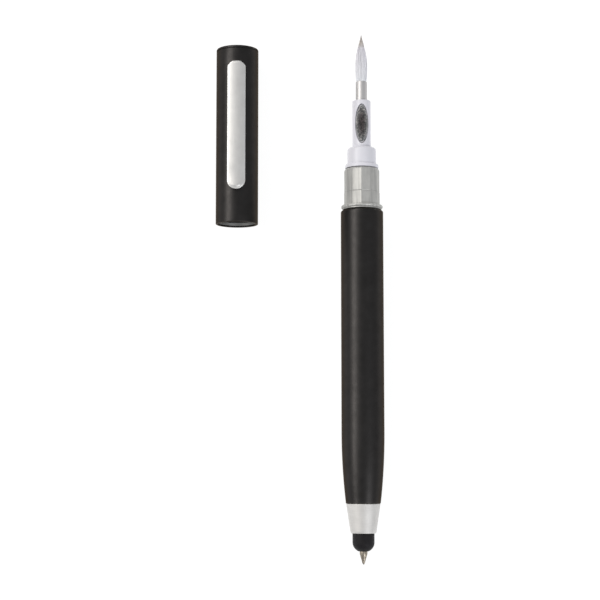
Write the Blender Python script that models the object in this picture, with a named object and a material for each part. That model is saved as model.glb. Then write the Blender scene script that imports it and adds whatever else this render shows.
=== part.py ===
"""Twist-action pen with a lens-cleaning head, and its pull-off cap lying beside it.

The pen and the cap lie flat, side by side, with their axes along Y. The writing end points to -Y and
the cleaning brush to +Y. All lengths below are in millimetres. A place along the pen is a station,
the distance from the tip of the writing ball; a place along the cap is its distance from the mouth.
"""

import math

import bmesh
import bpy
from mathutils import Vector

MM = 0.001
MERGE = 1e-5

# Overall layout
PEN_LENGTH = 137.9
BODY_R = 5.5
AXIS_SPACING = 32.5
PEN_X = AXIS_SPACING / 2
CAP_X = -AXIS_SPACING / 2
AXIS_Z = BODY_R
CAP_MOUTH_Y = 18.34
TOUCH_GAP = 0.3
SLIP_GAP = 0.1

# Roundness: sides of a turned piece
FINE = 48
MEDIUM = 32
COARSE = 20

# Barrel
BARREL_NOSE = 15.45
BARREL_NOSE_R = 4.44
TAPER_START = 33.6
BARREL_TOP = 90.76
BARREL_BORE_R = 4.7
BARREL_NOSE_BORE_R = 3.7

# Writing end
CONE_FRONT = 7.94
CONE_FRONT_R = 3.3
CONE_BACK = BARREL_NOSE - 0.2
CONE_BACK_R = 4.36
CONE_FRONT_BORE_R = 2.9
CONE_BACK_BORE_R = 3.15
CONE_BORE_STEP = 10.95
STYLUS_R = 2.8
STYLUS_HOLE_R = 1.25
STYLUS_DOME_START = 5.65
STYLUS_DOME_LENGTH = 2.55
STYLUS_BACK = 9.2
STYLUS_CAVITY_R = 2.05
STYLUS_CAVITY_FRONT = 4.75

# Refill
BALL_R = 0.25
POINT_R = 1.0
POINT_CONE_END = 2.7
POINT_BACK = 10.2
POINT_SPIGOT_R = 0.75
POINT_SPIGOT_END = 12.2
REFILL_R = 1.175
REFILL_BORE_R = 0.95
REFILL_BACK = 66.6

# Twist mechanism
RETRACT = 4.2
TWIST_TURN = math.pi
HOUSING_FRONT = 50.0
HOUSING_BACK = 85.0
HOUSING_R = 4.4
HOUSING_BORE_R = 3.6
FOLLOWER_FRONT = 61.0
FOLLOWER_BACK = 79.0
FOLLOWER_R = 2.1
FOLLOWER_BORE_R = REFILL_R + TOUCH_GAP
LUG_STATION = 70.0
LUG_R = 0.6
LUG_REACH = 4.1
CAM_FRONT = 65.0
CAM_BORE_END = 84.6
CAM_R = 3.3
CAM_BORE_R = 2.4
NECK_START = 85.3
NECK_R = 3.0
NECK_END = 97.5
NECK_BORE_R = 1.5
SPRING_FRONT = 51.5
SPRING_BACK = FOLLOWER_FRONT - TOUCH_GAP
SPRING_R = 2.1
SPRING_WIRE_R = 0.2
SPRING_TURNS = 5.5

# Rotating head
FLANGE_BOTTOM = BARREL_TOP + TOUCH_GAP
FLANGE_TOP = 92.2
FLANGE_R = 5.4
GRIP_SIDES = 12
GRIP_STEP = 95.6
GRIP_LOWER_R = 4.64
GRIP_UPPER_R = 4.58
GRIP_TOP = 101.78
GRIP_CHAMFER = 0.5
HEAD_BORE_R = NECK_R + TOUCH_GAP
TOOL_BOTTOM = 98.2
TOOL_FLANGE_BOTTOM = GRIP_TOP + 0.2
TOOL_FLANGE_TOP = 102.95
TOOL_FLANGE_R = 4.33
TOOL_COLLAR_TOP = 107.4
TOOL_COLLAR_R = 3.72
TOOL_SHOULDER = 0.6
TOOL_R = 2.39
TOOL_TOP = 119.9
TOOL_CORE_R = 1.8
TOOL_CORE_END = 105.7
WINDOW_STATION = 113.57
WINDOW_LENGTH = 10.45
WINDOW_WIDTH = 3.4
WINDOW_FLOOR = 1.15
PAD_LENGTH = 10.15
PAD_WIDTH = 3.1
PAD_R = 2.34
PAD_FLOOR = 1.7
BACKING_THICKNESS = 0.35
FERRULE_R = 1.47
FERRULE_BORE_R = 1.25
FERRULE_BOTTOM = TOOL_TOP + SLIP_GAP
FERRULE_TOP = 125.03
FERRULE_FLOOR = 120.9
STEM_R = 0.75
STEM_BOTTOM = 116.5
SOCKET_FLOOR = 116.2
TUFT_BOTTOM = FERRULE_FLOOR + 0.2
TUFT_ROOT_R = 1.12
TUFT_R = 1.6
TUFT_BELLY = 129.4

# Cap, measured from its mouth
CAP_LENGTH = 46.35
CAP_BORE_R = 4.85
PLUG_RIM = 0.65
PLUG_SKIRT_R = 4.55
PLUG_SKIRT_BORE_R = 4.0
PLUG_SKIRT_START = 43.6
PLUG_INNER_FACE = 45.45
LINER_START = 17.0
LINER_END = 43.2
LINER_R = 4.55
LINER_BORE_R = 3.2

# Pocket clip, heights measured from the cap's axis
CLIP_TOP_END = 41.9
CLIP_FREE_END = 8.22
CLIP_WIDTH = 4.64
CLIP_TONGUE_WIDTH = 2.1
CLIP_SHOULDER = 1.4
CLIP_THICKNESS = 0.55
CLIP_HEIGHT = 6.5
CLIP_BEND_R = 0.5
CLIP_FOOT_HEIGHT = 4.2
CLIP_FOOT_LENGTH = 1.6
CLIP_DIMPLE_AT = 12.0
CLIP_DIMPLE_DEPTH = 0.12
CLIP_DIMPLE_REACH = 3.2
CLIP_PIVOT_HEIGHT = 5.2
CLIP_SLOT_WIDTH = 2.7
CLIP_SLOT_FRONT_GAP = 0.2
CLIP_SLOT_BACK_GAP = 0.1


def clear_scene():
    for thing in list(bpy.data.objects):
        bpy.data.objects.remove(thing)


def along_pen(station):
    """The Y place, in millimetres, of a station on the pen."""
    return station - PEN_LENGTH / 2


def make_material(name, colour, roughness, metallic):
    material = bpy.data.materials.new(name)
    material.use_nodes = True
    shader = material.node_tree.nodes["Principled BSDF"]
    shader.inputs["Base Color"].default_value = (*colour, 1.0)
    shader.inputs["Roughness"].default_value = roughness
    shader.inputs["Metallic"].default_value = metallic
    return material


def empty_at(name, place, parent=None):
    """An empty at a place in millimetres, measured from its parent."""
    guide = bpy.data.objects.new(name, None)
    guide.location = Vector(place) * MM
    guide.parent = parent
    bpy.context.scene.collection.objects.link(guide)
    return guide


def add_object(name, mesh, parent, look=None):
    thing = bpy.data.objects.new(name, mesh)
    thing.parent = parent
    bpy.context.scene.collection.objects.link(thing)
    if look is not None:
        mesh.materials.append(make_material(name + "_material", *look))
    return thing


def finish_mesh(name, shape):
    """The bmesh as a mesh in metres, its faces pointing out, smooth except at real edges."""
    bmesh.ops.remove_doubles(shape, verts=shape.verts, dist=MERGE)
    bmesh.ops.scale(shape, vec=(MM, MM, MM), verts=shape.verts)
    bmesh.ops.recalc_face_normals(shape, faces=shape.faces)
    mesh = bpy.data.meshes.new(name)
    shape.to_mesh(mesh)
    shape.free()
    mesh.shade_smooth()
    mesh.set_sharp_from_angle(angle=math.radians(35))
    return mesh


def turned_mesh(name, outline, sides):
    """A solid turned about the Y axis from (radius, y) points.

    An outline that starts and ends on the axis is left open; any other is closed into a ring.
    """
    shape = bmesh.new()
    points = [shape.verts.new((radius, y, 0.0)) for radius, y in outline]
    edges = [shape.edges.new(pair) for pair in zip(points, points[1:])]
    if outline[0][0] > 0 or outline[-1][0] > 0:
        edges.append(shape.edges.new((points[-1], points[0])))
    bmesh.ops.spin(
        shape,
        geom=points + edges,
        cent=(0.0, 0.0, 0.0),
        axis=(0.0, 1.0, 0.0),
        angle=2 * math.pi,
        steps=sides,
        use_merge=True,
    )
    return finish_mesh(name, shape)


def turned_on_pen(name, outline, sides, parent, look):
    """A piece turned about the pen's axis, its outline in (radius, station)."""
    placed = [(radius, along_pen(station)) for radius, station in outline]
    return add_object(name, turned_mesh(name, placed, sides), parent, look)


def turned_on_cap(name, outline, sides, parent, look):
    """A piece turned about the cap's axis, its outline in (radius, distance from the mouth)."""
    placed = [(radius, CAP_MOUTH_Y + reach) for radius, reach in outline]
    return add_object(name, turned_mesh(name, placed, sides), parent, look)


def arc(centre, radii, start, end, steps):
    """Points on an ellipse in the (radius, station) plane, angles in degrees from +radius."""
    found = []
    for i in range(steps + 1):
        angle = math.radians(start + (end - start) * i / steps)
        x = centre[0] + radii[0] * math.cos(angle)
        y = centre[1] + radii[1] * math.sin(angle)
        found.append((x, y))
    return found


def box_mesh(name, low, high):
    shape = bmesh.new()
    bmesh.ops.create_cube(shape, size=1.0)
    for vert in shape.verts:
        vert.co = [a + (b - a) * (c + 0.5) for a, b, c in zip(low, high, vert.co)]
    return finish_mesh(name, shape)


def oval_mesh(name, length, width, low, high, middle, sides):
    """An upright elliptical prism, long along Y, its middle at Y = middle."""
    shape = bmesh.new()
    bottom = []
    for i in range(sides):
        angle = 2 * math.pi * i / sides
        x = width / 2 * math.cos(angle)
        y = middle + length / 2 * math.sin(angle)
        bottom.append(shape.verts.new((x, y, low)))
    floor = shape.faces.new(bottom)
    raised = bmesh.ops.extrude_face_region(shape, geom=[floor])
    top = [item for item in raised["geom"] if isinstance(item, bmesh.types.BMVert)]
    bmesh.ops.translate(shape, vec=(0.0, 0.0, high - low), verts=top)
    return finish_mesh(name, shape)


def combine(target, mesh, operation):
    """Adds, cuts or trims the target with another solid that shares its parent."""
    tool = add_object(target.name + "_" + mesh.name, mesh, target.parent)
    tool.hide_render = True
    tool.display_type = "WIRE"
    modifier = target.modifiers.new(operation.title(), "BOOLEAN")
    modifier.operation = operation
    modifier.solver = "EXACT"
    modifier.object = tool


# Looks: colour, roughness, metallic
BLACK_ANODISED = ((0.022, 0.02, 0.018), 0.35, 0.7)
SATIN_SILVER = ((0.72, 0.71, 0.69), 0.3, 1.0)
CHROME = ((0.85, 0.85, 0.84), 0.12, 1.0)
RUBBER = ((0.012, 0.01, 0.012), 0.7, 0.0)
STEEL = ((0.6, 0.59, 0.57), 0.3, 1.0)
POINT_METAL = ((0.62, 0.55, 0.46), 0.3, 1.0)
BRASS = ((0.7, 0.55, 0.3), 0.35, 1.0)
BLACK_PLASTIC = ((0.02, 0.02, 0.02), 0.5, 0.0)
NATURAL_PLASTIC = ((0.75, 0.74, 0.7), 0.45, 0.0)
GREY_PLASTIC = ((0.42, 0.42, 0.4), 0.25, 0.0)
WHITE_PLASTIC = ((0.8, 0.8, 0.85), 0.3, 0.0)
PAD_FLOCK = ((0.09, 0.08, 0.08), 0.95, 0.0)
NYLON = ((0.78, 0.77, 0.8), 0.4, 0.0)


def barrel_radius(station):
    """Outer radius of the barrel: straight, then a long arc in towards the nose."""
    inset = max(0.0, TAPER_START - station)
    full = TAPER_START - BARREL_NOSE
    return BODY_R - (BODY_R - BARREL_NOSE_R) * (inset / full) ** 2


def make_barrel(parent):
    steps = 7
    taper = []
    for i in range(steps + 1):
        station = BARREL_NOSE + SLIP_GAP + (TAPER_START - BARREL_NOSE) * i / steps
        taper.append((barrel_radius(station), station))
    outline = [(BARREL_NOSE_R - 0.1, BARREL_NOSE)]
    outline += taper
    outline += arc((BODY_R - 0.25, BARREL_TOP - 0.25), (0.25, 0.25), 0, 90, 2)
    outline += [
        (BARREL_BORE_R, BARREL_TOP),
        (BARREL_BORE_R, TAPER_START - 3),
        (BARREL_NOSE_BORE_R, BARREL_NOSE),
    ]
    turned_on_pen("barrel_tube", outline, FINE, parent, BLACK_ANODISED)


def make_nose_cone(parent):
    edge = 0.12
    outline = [
        (CONE_FRONT_R - edge, CONE_FRONT),
        (CONE_FRONT_R, CONE_FRONT + edge),
        (CONE_BACK_R, CONE_BACK - edge),
        (CONE_BACK_R - edge, CONE_BACK),
        (CONE_BACK_BORE_R, CONE_BACK),
        (CONE_BACK_BORE_R, CONE_BORE_STEP),
        (CONE_FRONT_BORE_R, CONE_BORE_STEP),
        (CONE_FRONT_BORE_R, CONE_FRONT),
    ]
    turned_on_pen("nose_cone", outline, FINE, parent, SATIN_SILVER)


def make_nose_bush(parent):
    outline = [
        (CONE_BACK_BORE_R - TOUCH_GAP, CONE_BORE_STEP + SLIP_GAP),
        (CONE_BACK_BORE_R - TOUCH_GAP, BARREL_NOSE + SLIP_GAP),
        (BARREL_NOSE_BORE_R - TOUCH_GAP, BARREL_NOSE + SLIP_GAP),
        (BARREL_NOSE_BORE_R - TOUCH_GAP, 24.0),
        (REFILL_R + TOUCH_GAP, 24.0),
        (REFILL_R + TOUCH_GAP, CONE_BORE_STEP + SLIP_GAP),
    ]
    turned_on_pen("nose_bush", outline, MEDIUM, parent, BRASS)


def make_stylus_tip(parent):
    """A hollow rubber dome, open at its end for the refill."""
    reach = math.degrees(math.acos(STYLUS_HOLE_R / STYLUS_R))
    dome = arc((0, STYLUS_DOME_START), (STYLUS_R, STYLUS_DOME_LENGTH), -reach, 0, 5)
    outline = dome + [
        (STYLUS_R, STYLUS_BACK),
        (STYLUS_CAVITY_R, STYLUS_BACK),
        (STYLUS_CAVITY_R, STYLUS_CAVITY_FRONT),
        (STYLUS_HOLE_R, STYLUS_CAVITY_FRONT - 0.5),
    ]
    turned_on_pen("stylus_tip", outline, MEDIUM, parent, RUBBER)


def make_stylus_core(parent):
    sleeve_r = STYLUS_CAVITY_R - TOUCH_GAP
    flange_r = CONE_FRONT_BORE_R - 0.2
    bore_r = REFILL_R + 0.2
    flange_front = STYLUS_BACK + TOUCH_GAP
    back = CONE_BORE_STEP - TOUCH_GAP
    outline = [
        (sleeve_r, STYLUS_DOME_START),
        (sleeve_r, flange_front),
        (flange_r, flange_front),
        (flange_r, back),
        (bore_r, back),
        (bore_r, STYLUS_DOME_START),
    ]
    turned_on_pen("stylus_core", outline, COARSE, parent, BRASS)


def make_refill(parent):
    ball = bmesh.new()
    bmesh.ops.create_uvsphere(ball, u_segments=12, v_segments=8, radius=BALL_R)
    bmesh.ops.translate(ball, vec=(0.0, along_pen(BALL_R), 0.0), verts=ball.verts)
    bmesh.ops.rotate(
        ball,
        verts=ball.verts,
        cent=(0.0, along_pen(BALL_R), 0.0),
        matrix=Vector((0, 0, 1)).rotation_difference(Vector((0, 1, 0))).to_matrix(),
    )
    add_object("writing_ball", finish_mesh("writing_ball", ball), parent, STEEL)

    socket_r = BALL_R + 0.04
    point = [
        (socket_r, 0.36),
        (socket_r + 0.05, 0.36),
        (POINT_R, POINT_CONE_END),
        (POINT_R, POINT_BACK - 0.8),
        (REFILL_R, POINT_BACK - 0.6),
        (REFILL_R, POINT_BACK),
        (POINT_SPIGOT_R, POINT_BACK),
        (POINT_SPIGOT_R, POINT_SPIGOT_END),
        (0.2, POINT_SPIGOT_END),
        (0.2, 0.65),
        (socket_r, 0.55),
    ]
    turned_on_pen("refill_point", point, COARSE, parent, POINT_METAL)

    tube = [
        (REFILL_R, POINT_BACK + SLIP_GAP),
        (REFILL_R, REFILL_BACK),
        (REFILL_BORE_R, REFILL_BACK),
        (REFILL_BORE_R, POINT_BACK + SLIP_GAP),
    ]
    turned_on_pen("refill_tube", tube, COARSE, parent, STEEL)

    plug_r = REFILL_BORE_R - 0.15
    plug = [(0, 62.5), (plug_r, 62.5), (plug_r, 66.2), (0, 66.2)]
    turned_on_pen("refill_plug", plug, COARSE, parent, NATURAL_PLASTIC)


def make_cam_follower(parent):
    """The refill's carrier: a rod with a socket in front and a cross pin whose ends are the lugs."""
    socket_end = REFILL_BACK + TOUCH_GAP
    outline = [
        (0, socket_end),
        (FOLLOWER_BORE_R, socket_end),
        (FOLLOWER_BORE_R, FOLLOWER_FRONT),
        (FOLLOWER_R, FOLLOWER_FRONT),
        (FOLLOWER_R, FOLLOWER_BACK),
        (0, FOLLOWER_BACK),
    ]
    rod = turned_on_pen("cam_follower", outline, COARSE, parent, NATURAL_PLASTIC)
    pin = bmesh.new()
    bmesh.ops.create_cone(
        pin,
        cap_ends=True,
        segments=12,
        radius1=LUG_R,
        radius2=LUG_R,
        depth=2 * LUG_REACH,
    )
    quarter_turn = Vector((0, 0, 1)).rotation_difference(Vector((1, 0, 0))).to_matrix()
    bmesh.ops.rotate(pin, verts=pin.verts, cent=(0, 0, 0), matrix=quarter_turn)
    bmesh.ops.translate(pin, vec=(0, along_pen(LUG_STATION), 0), verts=pin.verts)
    combine(rod, finish_mesh("lugs", pin), "UNION")


def make_mechanism_housing(parent):
    """A sleeve fixed in the barrel, with a lip in front and two straight slots for the lugs."""
    lip_end = SPRING_FRONT - TOUCH_GAP
    outline = [
        (REFILL_R + TOUCH_GAP, HOUSING_FRONT),
        (HOUSING_R, HOUSING_FRONT),
        (HOUSING_R, HOUSING_BACK),
        (HOUSING_BORE_R, HOUSING_BACK),
        (HOUSING_BORE_R, lip_end),
        (REFILL_R + TOUCH_GAP, lip_end),
    ]
    sleeve = turned_on_pen("mechanism_housing", outline, MEDIUM, parent, BLACK_PLASTIC)
    half = LUG_R + TOUCH_GAP
    low = (-HOUSING_R - 1, along_pen(LUG_STATION) - half, -half)
    high = (HOUSING_R + 1, along_pen(LUG_STATION + RETRACT) + half, half)
    combine(sleeve, box_mesh("slots", low, high), "DIFFERENCE")


def helical_slot_mesh(name, start_angle):
    """A block that follows the lug's path: it climbs by the retraction over the twist."""
    half = LUG_R + TOUCH_GAP
    middle_r = (CAM_R + CAM_BORE_R) / 2
    overrun = half / middle_r
    pitch = RETRACT / TWIST_TURN
    half_height = half * math.hypot(1.0, pitch / middle_r)
    steps = 20
    shape = bmesh.new()
    rings = []
    for i in range(steps + 1):
        turn = -overrun + (TWIST_TURN + 2 * overrun) * i / steps
        travel = min(max(turn, 0.0), TWIST_TURN)
        y = along_pen(LUG_STATION) + pitch * travel
        angle = start_angle + turn
        corners = [
            (CAM_BORE_R - 0.6, -1),
            (CAM_R + 0.6, -1),
            (CAM_R + 0.6, 1),
            (CAM_BORE_R - 0.6, 1),
        ]
        ring = []
        for radius, side in corners:
            place = (radius * math.cos(angle), y + side * half_height, radius * math.sin(angle))
            ring.append(shape.verts.new(place))
        rings.append(ring)
    for ring, following in zip(rings, rings[1:]):
        for j in range(4):
            shape.faces.new((ring[j], ring[(j + 1) % 4], following[(j + 1) % 4], following[j]))
    shape.faces.new(rings[0])
    shape.faces.new(rings[-1])
    return finish_mesh(name, shape)


def make_cam_sleeve(parent):
    """The sleeve that turns with the head. Its two helical slots drive the lugs."""
    outline = [
        (CAM_BORE_R, CAM_FRONT),
        (CAM_R, CAM_FRONT),
        (CAM_R, NECK_START),
        (NECK_R, NECK_START),
        (NECK_R, NECK_END),
        (NECK_BORE_R, NECK_END),
        (NECK_BORE_R, CAM_BORE_END),
        (CAM_BORE_R, CAM_BORE_END),
    ]
    sleeve = turned_on_pen("cam_sleeve", outline, MEDIUM, parent, NATURAL_PLASTIC)
    combine(sleeve, helical_slot_mesh("slot_a", 0.0), "DIFFERENCE")
    combine(sleeve, helical_slot_mesh("slot_b", math.pi), "DIFFERENCE")


def make_return_spring(parent):
    """A coil round the refill, between the housing's lip and the carrier."""
    per_turn = 14
    count = int(SPRING_TURNS * per_turn)
    low = SPRING_FRONT + SPRING_WIRE_R
    high = SPRING_BACK - SPRING_WIRE_R
    curve = bpy.data.curves.new("return_spring", "CURVE")
    curve.dimensions = "3D"
    curve.bevel_depth = SPRING_WIRE_R * MM
    curve.bevel_resolution = 0
    curve.use_fill_caps = True
    line = curve.splines.new("POLY")
    line.points.add(count)
    for i, point in enumerate(line.points):
        angle = 2 * math.pi * i / per_turn
        y = along_pen(low + (high - low) * i / count)
        place = Vector((SPRING_R * math.cos(angle), y, SPRING_R * math.sin(angle))) * MM
        point.co = (*place, 1.0)
    add_object("return_spring", curve, parent, STEEL)


def make_thrust_washer(parent):
    bottom = HOUSING_BACK + 0.4
    top = bottom + 0.7
    inner = NECK_R + TOUCH_GAP
    outline = [(inner, bottom), (HOUSING_R, bottom), (HOUSING_R, top), (inner, top)]
    turned_on_pen("thrust_washer", outline, MEDIUM, parent, NATURAL_PLASTIC)


def make_friction_ring(parent):
    thick = 0.4
    outline = arc((NECK_R + TOUCH_GAP + thick, 88.0), (thick, thick), 0, 315, 7)
    turned_on_pen("friction_ring", outline, MEDIUM, parent, RUBBER)


def make_grip_collar(parent):
    """A twelve-sided collar on a round flange, bored through for the neck and the tool's spigot."""
    foot = (FLANGE_BOTTOM + FLANGE_TOP) / 2
    prism = [
        (0, foot),
        (GRIP_LOWER_R, foot),
        (GRIP_LOWER_R, GRIP_STEP),
        (GRIP_UPPER_R, GRIP_STEP + SLIP_GAP),
        (GRIP_UPPER_R, GRIP_TOP - GRIP_CHAMFER),
        (GRIP_UPPER_R - GRIP_CHAMFER / 2, GRIP_TOP),
        (0, GRIP_TOP),
    ]
    collar = turned_on_pen("grip_collar", prism, GRIP_SIDES, parent, GREY_PLASTIC)
    edge = 0.25
    flange = [(0, FLANGE_BOTTOM), (FLANGE_R - edge, FLANGE_BOTTOM)]
    flange += arc((FLANGE_R - edge, FLANGE_BOTTOM + edge), (edge, edge), -45, 0, 1)
    flange += arc((FLANGE_R - edge, FLANGE_TOP - edge), (edge, edge), 0, 90, 2)
    flange += [(0, FLANGE_TOP)]
    placed = [(radius, along_pen(station)) for radius, station in flange]
    combine(collar, turned_mesh("flange", placed, FINE), "UNION")
    start = FLANGE_BOTTOM - 1
    end = GRIP_TOP + 1
    bore = [(0, start), (HEAD_BORE_R, start), (HEAD_BORE_R, end), (0, end)]
    placed = [(radius, along_pen(station)) for radius, station in bore]
    combine(collar, turned_mesh("bore", placed, MEDIUM), "DIFFERENCE")


def make_tool_body(parent):
    """The white moulding: spigot, flange, collar and a tube with an oval window on top."""
    spigot_r = HEAD_BORE_R - TOUCH_GAP
    edge = 0.15
    fillet = 0.4
    outline = [
        (0, TOOL_CORE_END),
        (TOOL_CORE_R, TOOL_CORE_END),
        (TOOL_CORE_R, TOOL_BOTTOM),
        (spigot_r, TOOL_BOTTOM),
        (spigot_r, TOOL_FLANGE_BOTTOM),
        (TOOL_FLANGE_R, TOOL_FLANGE_BOTTOM),
        (TOOL_FLANGE_R, TOOL_FLANGE_TOP - edge),
        (TOOL_FLANGE_R - edge, TOOL_FLANGE_TOP),
        (TOOL_COLLAR_R, TOOL_FLANGE_TOP),
    ]
    shoulder_at = (TOOL_COLLAR_R - TOOL_SHOULDER, TOOL_COLLAR_TOP - TOOL_SHOULDER)
    outline += arc(shoulder_at, (TOOL_SHOULDER, TOOL_SHOULDER), 0, 90, 4)
    fillet_at = (TOOL_R + fillet, TOOL_COLLAR_TOP + fillet)
    outline += arc(fillet_at, (fillet, fillet), 270, 180, 3)
    outline += [
        (TOOL_R, TOOL_TOP - edge),
        (TOOL_R - edge, TOOL_TOP),
        (STEM_R + SLIP_GAP, TOOL_TOP),
        (STEM_R + SLIP_GAP, SOCKET_FLOOR),
        (0, SOCKET_FLOOR),
    ]
    body = turned_on_pen("tool_body", outline, MEDIUM, parent, WHITE_PLASTIC)
    middle = along_pen(WINDOW_STATION)
    above = TOOL_R + 1
    window = oval_mesh("window", WINDOW_LENGTH, WINDOW_WIDTH, WINDOW_FLOOR, above, middle, 24)
    combine(body, window, "DIFFERENCE")


def make_pad(parent):
    """The flocked pad follows the tube's round surface; a stiff carrier lies under it."""
    middle = along_pen(WINDOW_STATION)
    low = WINDOW_FLOOR + SLIP_GAP
    high = low + BACKING_THICKNESS
    backing = oval_mesh("pad_backing", PAD_LENGTH, PAD_WIDTH, low, high, middle, 24)
    add_object("pad_backing", backing, parent, NATURAL_PLASTIC)
    above = TOOL_R + 1
    block = oval_mesh("sponge_pad", PAD_LENGTH, PAD_WIDTH, PAD_FLOOR, above, middle, 24)
    pad = add_object("sponge_pad", block, parent, PAD_FLOCK)
    front = middle - WINDOW_LENGTH
    back = middle + WINDOW_LENGTH
    rod = [(0, front), (PAD_R, front), (PAD_R, back), (0, back)]
    combine(pad, turned_mesh("round", rod, MEDIUM), "INTERSECT")


def make_brush(parent):
    """The ferrule stands on a stem in the tool's socket and holds the tuft."""
    lip = 0.08
    ferrule = [
        (0, STEM_BOTTOM),
        (STEM_R, STEM_BOTTOM),
        (STEM_R, FERRULE_BOTTOM),
        (FERRULE_R, FERRULE_BOTTOM),
        (FERRULE_R, FERRULE_TOP - lip),
        (FERRULE_R - lip, FERRULE_TOP),
        (FERRULE_BORE_R, FERRULE_TOP),
        (FERRULE_BORE_R, FERRULE_FLOOR),
        (0, FERRULE_FLOOR),
    ]
    turned_on_pen("brush_ferrule", ferrule, COARSE, parent, CHROME)
    tuft = [(0, TUFT_BOTTOM), (TUFT_ROOT_R, TUFT_BOTTOM), (TUFT_ROOT_R, FERRULE_TOP + SLIP_GAP)]
    tuft += arc((0, TUFT_BELLY), (TUFT_R, 9.0), -24, 0, 2)
    steps = 7
    for i in range(1, steps):
        along = i / steps
        radius = TUFT_R * (1 - along**2) ** 1.6
        tuft.append((radius, TUFT_BELLY + (PEN_LENGTH - TUFT_BELLY) * along))
    tuft.append((0, PEN_LENGTH))
    turned_on_pen("brush_bristles", tuft, COARSE, parent, NYLON)


def make_cap_shell(parent):
    edge = 0.12
    end = CAP_LENGTH - PLUG_RIM - SLIP_GAP
    outline = [
        (CAP_BORE_R + edge, 0),
        (BODY_R - edge, 0),
        (BODY_R, edge),
        (BODY_R, end - edge),
        (BODY_R - edge, end),
        (CAP_BORE_R, end),
        (CAP_BORE_R, edge),
    ]
    shell = turned_on_cap("cap_shell", outline, FINE, parent, BLACK_ANODISED)
    slot_start = CAP_MOUTH_Y + CLIP_TOP_END - CLIP_THICKNESS - CLIP_SLOT_FRONT_GAP
    slot_end = CAP_MOUTH_Y + CLIP_TOP_END + CLIP_SLOT_BACK_GAP
    low = (-CLIP_SLOT_WIDTH / 2, slot_start, 3.0)
    high = (CLIP_SLOT_WIDTH / 2, slot_end, BODY_R + 1)
    combine(shell, box_mesh("clip_slot", low, high), "DIFFERENCE")


def make_cap_end_plug(parent):
    edge = 0.3
    rim_start = CAP_LENGTH - PLUG_RIM
    outline = [
        (0, PLUG_INNER_FACE),
        (PLUG_SKIRT_BORE_R, PLUG_INNER_FACE),
        (PLUG_SKIRT_BORE_R, PLUG_SKIRT_START),
        (PLUG_SKIRT_R, PLUG_SKIRT_START),
        (PLUG_SKIRT_R, rim_start),
        (BODY_R - 0.05, rim_start),
        (BODY_R, rim_start + 0.05),
        (BODY_R, CAP_LENGTH - edge),
        (BODY_R - edge, CAP_LENGTH),
        (0, CAP_LENGTH),
    ]
    turned_on_cap("cap_end_plug", outline, FINE, parent, BLACK_ANODISED)


def make_cap_liner(parent):
    """The sleeve round the brush, notched where the clip's foot hooks under the shell."""
    outline = [
        (LINER_BORE_R, LINER_START),
        (LINER_R, LINER_START),
        (LINER_R, LINER_END),
        (LINER_BORE_R, LINER_END),
    ]
    liner = turned_on_cap("cap_liner", outline, MEDIUM, parent, BLACK_PLASTIC)
    start = CAP_MOUTH_Y + CLIP_TOP_END - CLIP_FOOT_LENGTH - 1
    low = (-CLIP_SLOT_WIDTH / 2, start, 3.5)
    high = (CLIP_SLOT_WIDTH / 2, CAP_MOUTH_Y + LINER_END + 1, BODY_R)
    combine(liner, box_mesh("notch", low, high), "DIFFERENCE")


def clip_path():
    """The clip's centreline as (reach, height, width), from the foot's end to the free end."""
    back = CLIP_TOP_END - CLIP_THICKNESS / 2
    bend = CLIP_BEND_R
    path = [
        (back - CLIP_FOOT_LENGTH, CLIP_FOOT_HEIGHT, CLIP_TONGUE_WIDTH),
        (back - 0.4, CLIP_FOOT_HEIGHT, CLIP_TONGUE_WIDTH),
        (back, CLIP_FOOT_HEIGHT + 0.4, CLIP_TONGUE_WIDTH),
    ]
    outer_r = bend + CLIP_THICKNESS / 2
    for i in range(5):
        angle = math.radians(90 * i / 4)
        reach = back - bend + bend * math.cos(angle)
        height = CLIP_HEIGHT - bend + bend * math.sin(angle)
        path.append((reach, height, shoulder_width(outer_r * (1 - math.cos(angle)))))
    path.append((CLIP_TOP_END - CLIP_SHOULDER, CLIP_HEIGHT, CLIP_WIDTH))
    round_r = CLIP_WIDTH / 2
    straight_end = CLIP_FREE_END + round_r
    steps = 12
    dimple_start = CLIP_DIMPLE_AT + CLIP_DIMPLE_REACH
    for i in range(steps):
        reach = dimple_start + (straight_end - dimple_start) * i / (steps - 1)
        path.append((reach, clip_height(reach), CLIP_WIDTH))
    for i in range(1, 7):
        angle = math.radians(86 * i / 6)
        reach = straight_end - round_r * math.sin(angle)
        path.append((reach, clip_height(reach), CLIP_WIDTH * math.cos(angle)))
    return path


def shoulder_width(inset):
    """Width of the strip where it narrows to its tongue, at a distance in from the bend's back."""
    share = min(1.0, inset / CLIP_SHOULDER)
    return CLIP_TONGUE_WIDTH + (CLIP_WIDTH - CLIP_TONGUE_WIDTH) * share


def clip_height(reach):
    """Height of the clip's centreline: level, with a shallow dimple near the free end."""
    offset = abs(reach - CLIP_DIMPLE_AT) / CLIP_DIMPLE_REACH
    if offset >= 1:
        return CLIP_HEIGHT
    return CLIP_HEIGHT - CLIP_DIMPLE_DEPTH * (0.5 + 0.5 * math.cos(math.pi * offset))


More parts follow.
